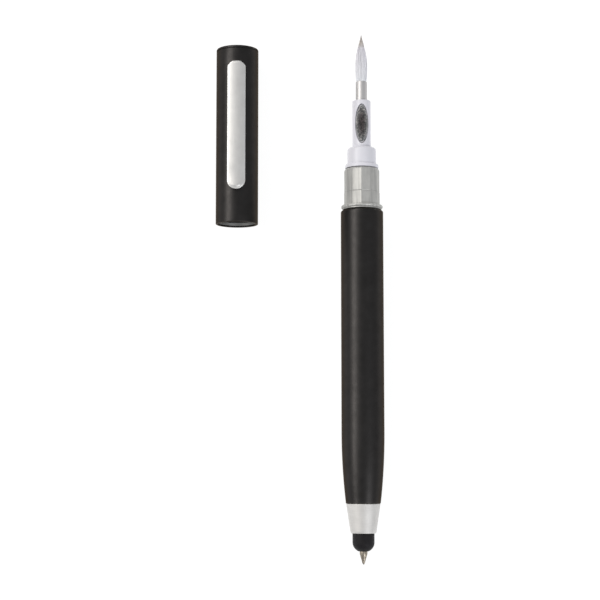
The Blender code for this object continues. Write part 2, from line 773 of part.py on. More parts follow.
def make_pocket_clip(parent, pivot):
    """A bent strip of even thickness, its places measured from the hinge at its foot."""
    path = clip_path()
    middle = [Vector((0, CAP_MOUTH_Y + reach, height)) - pivot for reach, height, _ in path]
    shape = bmesh.new()
    rings = []
    for i, (_, _, width) in enumerate(path):
        ahead = middle[min(i + 1, len(middle) - 1)]
        behind = middle[max(i - 1, 0)]
        along = (ahead - behind).normalized()
        normal = Vector((1, 0, 0)).cross(along)
        before = middle[i] - behind
        mitre = 1.0
        if 0 < i < len(middle) - 1:
            mitre = 1 / max(0.7, before.normalized().dot(along))
        offset = normal * (CLIP_THICKNESS / 2 * mitre)
        side = Vector((width / 2, 0, 0))
        corners = [
            middle[i] - side - offset,
            middle[i] + side - offset,
            middle[i] + side + offset,
            middle[i] - side + offset,
        ]
        rings.append([shape.verts.new(corner) for corner in corners])
    for ring, following in zip(rings, rings[1:]):
        for j in range(4):
            shape.faces.new((ring[j], ring[(j + 1) % 4], following[(j + 1) % 4], following[j]))
    shape.faces.new(rings[0])
    shape.faces.new(rings[-1])
    add_object("pocket_clip", finish_mesh("pocket_clip", shape), parent, CHROME)


def make_pen():
    pen = empty_at("pen_axis", (PEN_X, 0, AXIS_Z))
    make_barrel(pen)
    make_nose_cone(pen)
    make_nose_bush(pen)
    make_stylus_tip(pen)
    make_stylus_core(pen)
    make_mechanism_housing(pen)
    make_thrust_washer(pen)
    refill = empty_at("refill_slide", (0, 0, 0), pen)
    make_refill(refill)
    make_cam_follower(refill)
    make_return_spring(pen)
    head = empty_at("twist_axis", (0, 0, 0), pen)
    make_cam_sleeve(head)
    make_friction_ring(head)
    make_grip_collar(head)
    make_tool_body(head)
    make_pad(head)
    make_brush(head)


def make_cap():
    cap = empty_at("cap_axis", (CAP_X, 0, AXIS_Z))
    make_cap_shell(cap)
    make_cap_end_plug(cap)
    make_cap_liner(cap)
    back = CAP_MOUTH_Y + CLIP_TOP_END - CLIP_THICKNESS / 2
    pivot = Vector((0, back, CLIP_PIVOT_HEIGHT))
    hinge = empty_at("clip_hinge", pivot, cap)
    make_pocket_clip(hinge, pivot)


clear_scene()
make_pen()
make_cap()
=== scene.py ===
"""Looks for the lens cleaning pen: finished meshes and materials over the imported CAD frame.

Lengths are in millimetres unless a name says otherwise, and meshes are scaled to metres as they are
made. A station is the distance along the pen from its writing ball; a reach is the distance along the
cap from its mouth. Places and radii come from the CAD nodes' boxes.
"""

import math
import random

import bmesh
import bpy
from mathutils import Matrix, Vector


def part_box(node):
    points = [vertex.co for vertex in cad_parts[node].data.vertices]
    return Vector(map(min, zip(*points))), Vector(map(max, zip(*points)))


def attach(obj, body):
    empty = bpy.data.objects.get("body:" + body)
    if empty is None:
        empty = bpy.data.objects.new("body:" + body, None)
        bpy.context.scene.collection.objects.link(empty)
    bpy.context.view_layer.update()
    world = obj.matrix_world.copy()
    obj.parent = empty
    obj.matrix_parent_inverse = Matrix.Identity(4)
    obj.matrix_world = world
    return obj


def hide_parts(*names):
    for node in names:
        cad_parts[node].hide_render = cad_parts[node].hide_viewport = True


MM = 0.001
ROUND = 192
SEED = 7

# Barrel, cone, stylus and writing point: details that the boxes don't give
TAPER_START = 33.6
TAPER_STEPS = 40
BARREL_NOSE_R = 4.44
BARREL_NOSE_EDGE = 0.08
BARREL_NOSE_BORE_R = 3.7
BARREL_WALL = 0.8
CONE_FRONT_R = 3.3
CONE_FRONT_BORE_R = 2.9
CONE_BORE_R = 3.15
CONE_BORE_STEP = 2.7
CONE_REACH = 0.16
STYLUS_HOLE_R = 1.25
STYLUS_DOME_START = 5.65
STYLUS_DOME = 2.55
STYLUS_CAVITY_R = 2.05
STYLUS_CAVITY_FRONT = 4.75
STYLUS_HOLE_BACK = 4.25
POINT_MOUTH_R = 0.47
POINT_CONE_END = 2.7
POINT_NECK_R = 1.0
POINT_SPIGOT_R = 0.75
POINT_SHOULDER = 9.4
POINT_BACK = 10.2
INK_BORE_R = 0.2
BALL_SOCKET_R = 0.29
BALL_SOCKET_FLOOR = 0.65

# Rotating head
FLANGE_TOP = 92.2
GRIP_LOWER_R = 4.64
GRIP_UPPER_R = 4.58
GRIP_STEP = 95.6
GRIP_BORE_R = 3.3
GRIP_SIDES = 12
GRIP_TURN = 3.0
GRIP_CORNER = 0.9945
GRIP_BEAD_BOTTOM = 0.28
GRIP_BEAD_INSET = 0.33
TOOL_SPIGOT_R = 3.0
TOOL_FLANGE_BOTTOM = 101.98
TOOL_FLANGE_TOP = 102.95
TOOL_COLLAR_R = 3.72
TOOL_COLLAR_TOP = 107.4
TOOL_R = 2.39
TOOL_CORE_R = 1.8
TOOL_CORE_END = 105.7
SOCKET_R = 0.85
SOCKET_FLOOR = 116.2
WINDOW_LENGTH = 10.45
WINDOW_WIDTH = 3.4
WINDOW_FLOOR = 1.15
PAD_EDGE_DROP = 0.26
PAD_BASE_DEPTH = 0.14
FIBRE_ROOT_DEPTH = 0.2
FIBRE_COUNT = 3400
FERRULE_BOTTOM = 120.0
FERRULE_FLOOR = 120.9
FERRULE_BORE_R = 1.25
STEM_R = 0.75
TUFT_ROOT_R = 1.2
TUFT_R = 1.6
TUFT_BELLY = 129.4
TUFT_SWELL = 0.35
TUFT_TAPER = 1.4
FILAMENT_COUNT = 560
FILAMENT_ROWS = 16
FILAMENT_SIDES = 5
GATHER_SPAN = 0.62
GATHER_POWER = 0.714
GOLDEN_ANGLE = 2.399963

# Cap and its clip
CAP_WALL = 0.65
# Reaches of the pale band inside the cap's mouth: painted light on the bore.
PAINTED_LIGHT_BAND_START = 0.42
PAINTED_LIGHT_BAND_END = 1.2
PLUG_RIM = 0.65
PLUG_SKIRT_BORE_R = 4.0
PLUG_SKIRT_R = 4.55
PLUG_THICKNESS = 0.9
CLIP_WIDTH = 4.64
CLIP_TONGUE = 2.1
CLIP_SHOULDER = 1.4
CLIP_THICKNESS = 0.55
CLIP_BEND_R = 0.5
CLIP_FOOT_BEND_R = 0.4
CLIP_FOOT_LENGTH = 1.6
CLIP_DIMPLE_AT = 12.0
CLIP_DIMPLE_DEPTH = 0.12
CLIP_DIMPLE_REACH = 3.2
CLIP_CROWN = 0.26
CLIP_SLOT_WIDTH = 2.7
CLIP_SLOT_FRONT_GAP = 0.2
CLIP_SLOT_BACK_GAP = 0.1
CLIP_SLOT_CORNER_R = 0.3
CLIP_LIP_WIDTH = 0.8
CLIP_LIP_DROP = 0.22
CLIP_LIP_BLEND = 0.3
CLIP_TOP_EDGE_R = 0.2
CLIP_UNDER_EDGE_R = 0.1

# Camera and floor
LENS = 92.0
CAMERA_HEIGHT = 393.6
CAMERA_FORWARD = -44.86
CAMERA_SIDE = 0.13
CAMERA_TILT = 6.3
CAMERA_ROLL = -0.02
FLOOR_SIZE = 6000.0


# ---------------------------------------------------------------- places on the CAD frame


def centre_of(node):
    low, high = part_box(node)
    return (low + high) / 2 / MM


def extent(node, origin):
    """A turned node's front and back along its axis, from an origin, and its outer radius."""
    low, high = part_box(node)
    return low.y / MM - origin, high.y / MM - origin, (high.x - low.x) / 2 / MM


# ---------------------------------------------------------------- mesh building


def mesh_object(name, shape, body, nodes, material, sharp=30.0):
    """Finishes a bmesh in millimetres as a piece that rides a body and stands for CAD nodes."""
    bmesh.ops.remove_doubles(shape, verts=shape.verts, dist=1e-5)
    bmesh.ops.scale(shape, vec=(MM, MM, MM), verts=shape.verts)
    bmesh.ops.recalc_face_normals(shape, faces=shape.faces)
    mesh = bpy.data.meshes.new(name)
    shape.to_mesh(mesh)
    shape.free()
    mesh.shade_smooth()
    mesh.set_sharp_from_angle(angle=math.radians(sharp))
    mesh.materials.append(material)
    piece = bpy.data.objects.new(name, mesh)
    bpy.context.scene.collection.objects.link(piece)
    if body:
        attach(piece, body)
        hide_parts(*nodes)
    return piece


def loft(rings, closed):
    """Quads between equal rings of points; closed joins the last ring back to the first."""
    shape = bmesh.new()
    made = [[shape.verts.new(point) for point in ring] for ring in rings]
    following = made[1:] + made[:1] if closed else made[1:]
    for ring, ahead in zip(made, following):
        count = len(ring)
        for i in range(count):
            j = (i + 1) % count
            shape.faces.new((ring[i], ring[j], ahead[j], ahead[i]))
    return shape


def soften(corners, steps=6):
    """A path through (a, b, rounding) corners, each corner replaced by a small curve."""
    path = []
    for i, (a, b, rounding) in enumerate(corners):
        here = Vector((a, b))
        if rounding <= 0:
            path.append(here)
            continue
        before = Vector(corners[i - 1][:2]) - here
        after = Vector(corners[(i + 1) % len(corners)][:2]) - here
        start = here + before.normalized() * rounding
        end = here + after.normalized() * rounding
        for k in range(steps + 1):
            t = k / steps
            path.append(start * (1 - t) ** 2 + here * 2 * t * (1 - t) + end * t**2)
    return [(point.x, point.y) for point in path]


def arc(centre, radii, start, end, steps):
    """Points on an ellipse in the (radius, station) plane, angles in degrees from +radius."""
    found = []
    for i in range(steps + 1):
        angle = math.radians(start + (end - start) * i / steps)
        x = centre[0] + radii[0] * math.cos(angle)
        y = centre[1] + radii[1] * math.sin(angle)
        found.append((x, y, 0))
    return found


def stepped(outline, longest=1.5):
    """The same outline with extra points on long straight runs."""
    path = []
    for here, ahead in zip(outline, outline[1:] + outline[:1]):
        path.append(here)
        count = int(math.dist(here, ahead) / longest)
        for k in range(1, count + 1):
            t = k / (count + 1)
            path.append((here[0] + (ahead[0] - here[0]) * t, here[1] + (ahead[1] - here[1]) * t))
    return path


def turned(outline, axis, origin, sides=ROUND):
    """A solid turned about a line along Y, from (radius, distance from the origin) points."""
    is_ring = outline[0][0] > 0 or outline[-1][0] > 0
    path = stepped(outline)
    rings = []
    for radius, reach in path:
        ring = []
        for i in range(sides):
            angle = 2 * math.pi * i / sides
            x = axis.x + radius * math.cos(angle)
            z = axis.z + radius * math.sin(angle)
            ring.append((x, origin + reach, z))
        rings.append(ring)
    return loft(rings, closed=is_ring)


def cut(piece, shape, name):
    """Cuts a bmesh in millimetres out of a piece and applies the cut."""
    tool = mesh_object(name, shape, None, (), piece.data.materials[0])
    modifier = piece.modifiers.new(name, "BOOLEAN")
    modifier.operation = "DIFFERENCE"
    modifier.solver = "EXACT"
    modifier.object = tool
    graph = bpy.context.evaluated_depsgraph_get()
    result = bpy.data.meshes.new_from_object(piece.evaluated_get(graph))
    piece.modifiers.clear()
    piece.data = result
    piece.data.set_sharp_from_angle(angle=math.radians(30))
    bpy.data.objects.remove(tool)


# ---------------------------------------------------------------- materials


def add_node(tree, kind, inputs=None, **settings):
    """A shader node. Inputs are numbers, colours or sockets, by name or index."""
    made = tree.nodes.new("ShaderNode" + kind)
    for name, value in settings.items():
        setattr(made, name, value)
    for socket, value in (inputs or {}).items():
        if isinstance(value, bpy.types.NodeSocket):
            tree.links.new(value, made.inputs[socket])
        else:
            made.inputs[socket].default_value = value
    return made


def new_material(name, **sockets):
    """A material with one Principled shader; returns it, its tree and the shader."""
    material = bpy.data.materials.new(name)
    material.use_nodes = True
    tree = material.node_tree
    shader = tree.nodes["Principled BSDF"]
    for socket, value in sockets.items():
        shader.inputs[socket.replace("_", " ")].default_value = value
    return material, tree, shader


def coordinates(tree, scale):
    """Object coordinates in millimetres, stretched by a scale."""
    place = add_node(tree, "TexCoord").outputs["Object"]
    stretch = [s / MM for s in scale]
    return add_node(tree, "Mapping", {"Vector": place, "Scale": stretch}).outputs["Vector"]


def noise(tree, scale=(1.0, 1.0, 1.0), size=1.0, detail=4.0, roughness=0.55):
    """Noise with features about size millimetres across, stretched along axes by scale."""
    settings = {"Vector": coordinates(tree, scale), "Scale": 1 / size}
    settings.update({"Detail": detail, "Roughness": roughness})
    return add_node(tree, "TexNoise", settings).outputs["Fac"]


def ramp(tree, factor, *stops):
    """A colour ramp through (position, colour) stops; a single number makes a grey."""
    node = add_node(tree, "ValToRGB", {"Fac": factor})
    elements = node.color_ramp.elements
    while len(elements) < len(stops):
        elements.new(0.5)
    for element, (position, colour) in zip(elements, stops):
        if isinstance(colour, (int, float)):
            colour = (colour, colour, colour)
        element.position = position
        element.color = (*colour, 1.0)
    return node.outputs["Color"]


def mix(tree, factor, first, second, blend="MIX"):
    """Blends two colours by a factor; each of the three may be a value or a socket."""
    node = add_node(tree, "Mix", data_type="RGBA", blend_type=blend)
    for socket, value in ((0, factor), (6, first), (7, second)):
        if isinstance(value, bpy.types.NodeSocket):
            tree.links.new(value, node.inputs[socket])
        elif socket == 0:
            node.inputs[socket].default_value = value
        else:
            node.inputs[socket].default_value = (*value, 1.0)
    return node.outputs[2]


def bumped(tree, shader, height, strength, distance):
    """Adds relief to a shader; distance is the relief's depth in millimetres."""
    settings = {"Height": height, "Strength": strength, "Distance": distance * MM}
    node = add_node(tree, "Bump", settings)
    tree.links.new(node.outputs["Normal"], shader.inputs["Normal"])


def edges(tree, low, high):
    """0 on flat and hollow places, rising to 1 on worn outer edges."""
    pointed = add_node(tree, "NewGeometry").outputs["Pointiness"]
    return ramp(tree, pointed, (low, 0.0), (high, 1.0))


def black_anodised():
    """Satin black anodised aluminium: fine blasted grain, faint mottling, rubbed edges."""
    material, tree, shader = new_material(
        "black_anodised", Metallic=1.0, Specular_Tint=(0.55, 0.5, 0.45, 1.0)
    )
    mottle = noise(tree, size=3.0, detail=5.0)
    body = ramp(tree, mottle, (0.3, (0.038, 0.0365, 0.036)), (0.7, (0.046, 0.044, 0.0435)))
    worn = mix(tree, edges(tree, 0.52, 0.6), body, (0.085, 0.08, 0.075))
    lines = noise(tree, scale=(1.0, 0.02, 1.0), size=0.35, detail=3.0)
    colour = mix(tree, ramp(tree, lines, (0.62, 0.0), (0.8, 0.3)), worn, (0.06, 0.056, 0.053))
    tree.links.new(colour, shader.inputs["Base Color"])
    gloss = ramp(tree, noise(tree, size=1.4, detail=6.0), (0.3, 0.37), (0.7, 0.45))
    tree.links.new(gloss, shader.inputs["Roughness"])
    bumped(tree, shader, noise(tree, size=0.09, detail=3.0), 0.2, 0.008)
    return material


def painted_light_bore():
    """Pale metal for a band inside the cap's mouth, painted light where light falls on the bore; fine
    boring marks.
    """
    return metal("painted_light_bore", (0.5, 0.5, 0.49), (0.62, 0.62, 0.61), 0.42, 0.2)


def satin_silver():
    """Satin aluminium with fine turning lines round it."""
    material, tree, shader = new_material("satin_silver", Metallic=0.85)
    lines = noise(tree, scale=(0.05, 1.0, 0.05), size=0.12, detail=4.0)
    cloud = noise(tree, size=2.0, detail=4.0)
    base = ramp(tree, cloud, (0.3, (0.67, 0.66, 0.645)), (0.7, (0.73, 0.72, 0.705)))
    colour = mix(tree, ramp(tree, lines, (0.4, 0.0), (0.7, 0.2)), base, (0.6, 0.59, 0.575))
    tree.links.new(colour, shader.inputs["Base Color"])
    gloss = ramp(tree, lines, (0.3, 0.58), (0.7, 0.68))
    tree.links.new(gloss, shader.inputs["Roughness"])
    bumped(tree, shader, lines, 0.25, 0.01)
    return material


def clip_chrome():
    """Bright plated strip with faint lengthwise polishing marks."""
    material, tree, shader = new_material("clip_chrome", Metallic=1.0)
    marks = noise(tree, scale=(1.0, 0.03, 1.0), size=0.1, detail=4.0)
    cloud = noise(tree, size=2.5, detail=3.0)
    colour = ramp(tree, cloud, (0.3, (0.78, 0.775, 0.76)), (0.7, (0.84, 0.835, 0.82)))
    tree.links.new(colour, shader.inputs["Base Color"])
    tree.links.new(ramp(tree, marks, (0.3, 0.4), (0.75, 0.48)), shader.inputs["Roughness"])
    bumped(tree, shader, marks, 0.08, 0.003)
    return material


def ferrule_chrome():
    """Satin plated tube with faint drawing lines, darker at grazing angles."""
    material, tree, shader = new_material(
        "ferrule_chrome", Metallic=1.0, Specular_Tint=(0.25, 0.25, 0.2, 1.0)
    )
    lines = noise(tree, scale=(1.0, 0.04, 1.0), size=0.12, detail=3.0)
    colour = ramp(tree, lines, (0.3, (0.64, 0.63, 0.62)), (0.7, (0.7, 0.69, 0.7)))
    tree.links.new(colour, shader.inputs["Base Color"])
    gloss = ramp(tree, noise(tree, size=0.8), (0.3, 0.5), (0.7, 0.56))
    tree.links.new(gloss, shader.inputs["Roughness"])
    return material


def black_rubber():
    """Soft matt rubber with a very fine grain and a little handling dust."""
    material, tree, shader = new_material(
        "black_rubber", Specular_IOR_Level=0.22, Sheen_Weight=0.04, Sheen_Roughness=0.5
    )
    dust = noise(tree, size=1.1, detail=6.0)
    colour = ramp(tree, dust, (0.4, (0.006, 0.0052, 0.0066)), (0.8, (0.013, 0.012, 0.0135)))
    tree.links.new(colour, shader.inputs["Base Color"])
    tree.links.new(ramp(tree, dust, (0.3, 0.55), (0.7, 0.7)), shader.inputs["Roughness"])
    bumped(tree, shader, noise(tree, size=0.07, detail=4.0), 0.35, 0.02)
    return material


def metal(name, dark, light, gloss, turning=0.1):
    """Turned bare metal: rings of tone and gloss round the part."""
    material, tree, shader = new_material(name, Metallic=1.0)
    rings = noise(tree, scale=(0.1, 1.0, 0.1), size=turning, detail=4.0)
    tree.links.new(ramp(tree, rings, (0.3, dark), (0.7, light)), shader.inputs["Base Color"])
    rough = ramp(tree, noise(tree, size=0.6), (0.3, gloss), (0.7, gloss + 0.14))
    tree.links.new(rough, shader.inputs["Roughness"])
    bumped(tree, shader, rings, 0.2, 0.006)
    return material


def moulded(name, dark, light, gloss, grain=0.15):
    """Plain moulded plastic: faint flow marks, a soft grain, uneven gloss."""
    material, tree, shader = new_material(name, Specular_IOR_Level=0.45)
    flow = noise(tree, scale=(1.0, 0.35, 1.0), size=2.2, detail=5.0)
    tree.links.new(ramp(tree, flow, (0.3, dark), (0.7, light)), shader.inputs["Base Color"])
    rough = ramp(tree, noise(tree, size=0.9), (0.3, gloss), (0.7, gloss + 0.12))
    tree.links.new(rough, shader.inputs["Roughness"])
    bumped(tree, shader, noise(tree, size=grain, detail=3.0), 0.15, 0.01)
    return material


def grey_plastic():
    """Silver-grey metallised plastic with faint draw lines along it."""
    material, tree, shader = new_material(
        "grey_plastic",
        Metallic=0.6,
        Specular_IOR_Level=0.4,
        Specular_Tint=(0.6, 0.6, 0.58, 1.0),
    )
    streaks = noise(tree, scale=(1.0, 0.05, 1.0), size=0.6, detail=4.0)
    cloud = noise(tree, size=1.8, detail=3.0)
    base = ramp(tree, cloud, (0.3, (0.5, 0.5, 0.485)), (0.7, (0.57, 0.57, 0.55)))
    colour = mix(tree, ramp(tree, streaks, (0.45, 0.0), (0.7, 0.7)), base, (0.33, 0.33, 0.32))
    tree.links.new(colour, shader.inputs["Base Color"])
    rough = ramp(tree, streaks, (0.3, 0.44), (0.7, 0.54))
    tree.links.new(rough, shader.inputs["Roughness"])
    bumped(tree, shader, streaks, 0.06, 0.006)
    return material


def white_plastic():
    """Glossy white moulding, cool in tone, with faint flow marks."""
    material, tree, shader = new_material("white_plastic", Specular_IOR_Level=0.5)
    flow = noise(tree, scale=(1.0, 0.3, 1.0), size=2.5, detail=4.0)
    colour = ramp(tree, flow, (0.3, (0.7, 0.7, 0.755)), (0.7, (0.73, 0.73, 0.785)))
    tree.links.new(colour, shader.inputs["Base Color"])
    rough = ramp(tree, noise(tree, size=1.0), (0.3, 0.3), (0.7, 0.42))
    tree.links.new(rough, shader.inputs["Roughness"])
    bumped(tree, shader, noise(tree, size=0.25, detail=3.0), 0.08, 0.01)
    return material


def pad_flock(middle, half_x, half_y):
    """Flock: every fibre its own tone, nearly black in the middle; the paler, cooler rim is painted
    light.
    """
    material, tree, shader = new_material(
        "pad_flock", Roughness=0.95, Specular_IOR_Level=0.1, Sheen_Weight=0.2, Sheen_Roughness=0.6
    )
    place = add_node(tree, "TexCoord").outputs["Object"]
    inward = (-middle.x * MM, -middle.y * MM, 0.0)
    centred = add_node(tree, "VectorMath", {0: place, 1: inward}, operation="ADD").outputs[0]
    spread = (1 / (half_x * MM), 1 / (half_y * MM), 0.0)
    oval = add_node(tree, "VectorMath", {0: centred, 1: spread}, operation="MULTIPLY").outputs[0]
    reach = add_node(tree, "VectorMath", {0: oval}, operation="LENGTH").outputs["Value"]
    # The dark middle is the pad's own colour; the paler, cooler rim is painted light where the
    # sloping rim catches light.
    zones = ramp(
        tree,
        reach,
        (0.0, (0.1, 0.086, 0.085)),
        (0.4, (0.115, 0.11, 0.112)),
        (0.72, (0.18, 0.19, 0.19)),
        (0.9, (0.3, 0.32, 0.325)),
        (1.0, (0.55, 0.58, 0.6)),
    )
    fibre = add_node(tree, "NewGeometry").outputs["Random Per Island"]
    own_tone = ramp(tree, fibre, (0.0, 0.3), (0.6, 0.8), (0.85, 1.8), (1.0, 4.5))
    contrast = ramp(tree, reach, (0.35, 1.0), (0.9, 0.3))
    tone = mix(tree, contrast, zones, own_tone, "MULTIPLY")
    speck = noise(tree, size=0.3, detail=3.0)
    grain = ramp(tree, speck, (0.36, 0.35), (0.5, 0.85), (0.66, (2.6, 2.3, 2.25)))
    colour = mix(tree, 1.0, tone, grain, "MULTIPLY")
    tree.links.new(colour, shader.inputs["Base Color"])
    bumped(tree, shader, speck, 0.5, 0.06)
    return material


def nylon(tip_y, root_y):
    """Fine filaments: bluish white at the root, lavender grey, then warmer and darker towards the
    tip.
    """
    material, tree, shader = new_material("nylon", Roughness=0.38, Specular_IOR_Level=0.5)
    place = add_node(tree, "TexCoord").outputs["Object"]
    along = add_node(tree, "SeparateXYZ", {0: place}).outputs["Y"]
    span = {"Value": along, "From Min": root_y * MM, "From Max": tip_y * MM}
    share = add_node(tree, "MapRange", span).outputs["Result"]
    zones = ramp(
        tree,
        share,
        (0.0, (0.92, 0.96, 1.0)),
        (0.35, (0.95, 0.96, 1.0)),
        (0.76, (0.95, 0.94, 0.99)),
        (0.84, (0.7, 0.66, 0.63)),
        (0.95, (0.42, 0.37, 0.35)),
        (1.0, (0.12, 0.1, 0.09)),
    )
    fibre = add_node(tree, "NewGeometry").outputs["Random Per Island"]
    shade = ramp(tree, fibre, (0.0, 0.84), (0.25, 0.97), (1.0, 1.0))
    colour = mix(tree, 1.0, zones, shade, "MULTIPLY")
    tree.links.new(colour, shader.inputs["Base Color"])
    bumped(tree, shader, noise(tree, size=0.05, detail=2.0), 0.1, 0.003)
    return material


# ---------------------------------------------------------------- the pen's outside


def make_barrel(axis, tip, material):
    """The barrel: a small chamfer, a taper that fades into the straight tube, a softened top."""
    front, back, radius = extent("barrel_tube", tip)
    profile = [(BARREL_NOSE_R - BARREL_NOSE_EDGE, front, 0.0)]
    start = front + 0.07
    for i in range(TAPER_STEPS + 1):
        station = start + (TAPER_START - start) * i / TAPER_STEPS
        inset = (TAPER_START - station) / (TAPER_START - front)
        profile.append((radius - (radius - BARREL_NOSE_R) * inset**2, station, 0.0))
    profile += [
        (radius, back, 0.5),
        (radius - BARREL_WALL, back, 0.1),
        (radius - BARREL_WALL, TAPER_START - 3, 0.0),
        (BARREL_NOSE_BORE_R, front, 0.05),
    ]
    shape = turned(soften(profile), axis, tip)
    mesh_object("barrel_skin", shape, "barrel", ["barrel_tube"], material)


def make_cone(axis, tip, material):
    """The silver cone, with a narrow chamfer at its small end."""
    front, back, radius = extent("nose_cone", tip)
    back += CONE_REACH
    profile = [
        (CONE_FRONT_R - 0.13, front, 0.05),
        (CONE_FRONT_R + 0.03, front + 0.45, 0.12),
        (radius, back - 0.1, 0.06),
        (radius - 0.1, back, 0.03),
        (CONE_BORE_R, back, 0.1),
        (CONE_BORE_R, front + CONE_BORE_STEP, 0.0),
        (CONE_FRONT_BORE_R, front + CONE_BORE_STEP, 0.0),
        (CONE_FRONT_BORE_R, front, 0.12),
    ]
    shape = turned(soften(profile), axis, tip)
    mesh_object("cone_skin", shape, "barrel", ["nose_cone"], material)


def make_stylus_dome(axis, tip, material):
    """The hollow rubber dome, open in the middle for the writing point."""
    front, back, radius = extent("stylus_tip", tip)
    hole_angle = math.degrees(math.acos(STYLUS_HOLE_R / radius))
    profile = arc((0, STYLUS_DOME_START), (radius, STYLUS_DOME), -hole_angle, 0, 28)
    profile[0] = (STYLUS_HOLE_R, front, 0.12)
    profile += [
        (radius, back, 0.2),
        (STYLUS_CAVITY_R, back, 0.1),
        (STYLUS_CAVITY_R, STYLUS_CAVITY_FRONT, 0.3),
        (STYLUS_HOLE_R, STYLUS_HOLE_BACK, 0.1),
    ]
    shape = turned(soften(profile), axis, tip)
    mesh_object("stylus_dome", shape, "barrel", ["stylus_tip"], material)


def make_writing_point(axis, tip, point_material, ball_material):
    """The refill's conical point, with an ink bore and a socket, and the ball in it."""
    front, back, radius = extent("refill_point", tip)
    profile = [
        (BALL_SOCKET_R, front, 0.0),
        (BALL_SOCKET_R + 0.05, front, 0.02),
        (POINT_MOUTH_R, front + 0.62, 0.12),
        (POINT_NECK_R - 0.04, POINT_CONE_END - 0.1, 0.12),
        (POINT_NECK_R, POINT_CONE_END + 0.25, 0.08),
        (POINT_NECK_R, POINT_SHOULDER, 0.05),
        (radius, POINT_SHOULDER + 0.2, 0.05),
        (radius, POINT_BACK, 0.08),
        (POINT_SPIGOT_R, POINT_BACK, 0.0),
        (POINT_SPIGOT_R, back, 0.05),
        (INK_BORE_R, back, 0.0),
        (INK_BORE_R, BALL_SOCKET_FLOOR, 0.0),
        (BALL_SOCKET_R, BALL_SOCKET_FLOOR - 0.1, 0.0),
    ]
    shape = turned(soften(profile), axis, tip, 96)
    mesh_object("point_skin", shape, "refill", ["refill_point"], point_material)
    _, far, ball_r = extent("writing_ball", tip)
    half = [(x, y) for x, y, _ in arc((0, far / 2), (ball_r, far / 2), -90, 90, 24)]
    half[0] = (0.0, half[0][1])
    half[-1] = (0.0, half[-1][1])
    shape = turned(half, axis, tip, 48)
    mesh_object("ball_skin", shape, "refill", ["writing_ball"], ball_material)


# ---------------------------------------------------------------- the rotating head


def faceted_angles():
    """Angles round a twelve-sided collar, close together beside each softened corner."""
    facet = 2 * math.pi / GRIP_SIDES
    shares = (-0.5, -0.452, -0.43, -0.2, 0.0, 0.2, 0.43, 0.452)
    first = math.radians(GRIP_TURN)
    return [first + facet * (i + 0.5 + share) for i in range(GRIP_SIDES) for share in shares]


def faceted_radius(angle, corner_r):
    """Distance to the side of a twelve-sided collar whose corners are slightly flattened."""
    facet = 2 * math.pi / GRIP_SIDES
    off_centre = ((angle - math.radians(GRIP_TURN)) % facet) - facet / 2
    flat = corner_r * math.cos(facet / 2)
    return min(flat / math.cos(off_centre), corner_r * GRIP_CORNER)


def make_grip(axis, tip, material):
    """The twelve-sided collar in two tiers, on a round flange with a beaded edge."""
    front, back, radius = extent("grip_collar", tip)
    angles = faceted_angles()
    bead_low = front + GRIP_BEAD_BOTTOM
    bead_r = (FLANGE_TOP - bead_low) / 2
    under_r = radius - GRIP_BEAD_INSET
    round_profile = [(GRIP_BORE_R, front), (under_r - 0.07, front), (under_r, front + 0.06)]
    round_profile += [(under_r, bead_low - 0.03)]
    centre = (radius - bead_r, (FLANGE_TOP + bead_low) / 2)
    round_profile += [(x, y) for x, y, _ in arc(centre, (bead_r, bead_r), -80, 88, 16)]
    round_profile += [(GRIP_LOWER_R + 0.22, FLANGE_TOP + 0.005)]
    sides = [
        (GRIP_LOWER_R + 0.03, FLANGE_TOP + 0.06),
        (GRIP_LOWER_R, FLANGE_TOP + 0.2),
        (GRIP_LOWER_R, FLANGE_TOP + 0.3),
        (GRIP_LOWER_R, GRIP_STEP - 0.2),
        (GRIP_LOWER_R, GRIP_STEP - 0.1),
        (GRIP_LOWER_R - 0.02, GRIP_STEP - 0.07),
        (GRIP_LOWER_R - 0.14, GRIP_STEP),
        (GRIP_UPPER_R - 0.02, GRIP_STEP + 0.07),
        (GRIP_UPPER_R, GRIP_STEP + 0.1),
        (GRIP_UPPER_R, GRIP_STEP + 0.2),
        (GRIP_UPPER_R, back - 0.65),
        (GRIP_UPPER_R, back - 0.55),
        (GRIP_UPPER_R - 0.015, back - 0.48),
        (GRIP_UPPER_R - 0.24, back - 0.05),
        (GRIP_UPPER_R - 0.32, back),
    ]
    rings = []
    for r, station in round_profile:
        rings.append([(r, a, station) for a in angles])
    for r, station in sides:
        rings.append([(faceted_radius(a, r), a, station) for a in angles])
    rings.append([(GRIP_BORE_R + 0.08, a, back) for a in angles])
    rings.append([(GRIP_BORE_R, a, back - 0.08) for a in angles])
    placed = []
    for ring in rings:
        placed.append(
            [(axis.x + r * math.cos(a), tip + y, axis.z + r * math.sin(a)) for r, a, y in ring]
        )
    shape = loft(placed, closed=True)
    mesh_object("grip_skin", shape, "head", ["grip_collar"], material, sharp=35)


def window_cutter(axis, middle):
    """An oval well whose rim flares where it meets the tube's round surface.

    Each level is how far the oval grows and its height over that surface; None is the well's floor.
    """
    count = 96
    levels = [(0.0, None), (0.0, -0.16), (0.035, -0.07), (0.12, -0.005), (0.16, 0.02), (0.16, 1.2)]
    rings = []
    for grow, above in levels:
        ring = []
        for i in range(count):
            angle = 2 * math.pi * i / count
            x = (WINDOW_WIDTH / 2 + grow) * math.cos(angle)
            y = (WINDOW_LENGTH / 2 + grow) * math.sin(angle)
            edge_x = (WINDOW_WIDTH / 2) * math.cos(angle)
            surface = math.sqrt(TOOL_R**2 - edge_x**2)
            z = WINDOW_FLOOR if above is None else surface + above
            ring.append((axis.x + x, middle + y, axis.z + z))
        rings.append(ring)
    shape = loft(rings, closed=False)
    shape.verts.ensure_lookup_table()
    shape.faces.new(shape.verts[:count])
    shape.faces.new(shape.verts[-count:])
    return shape


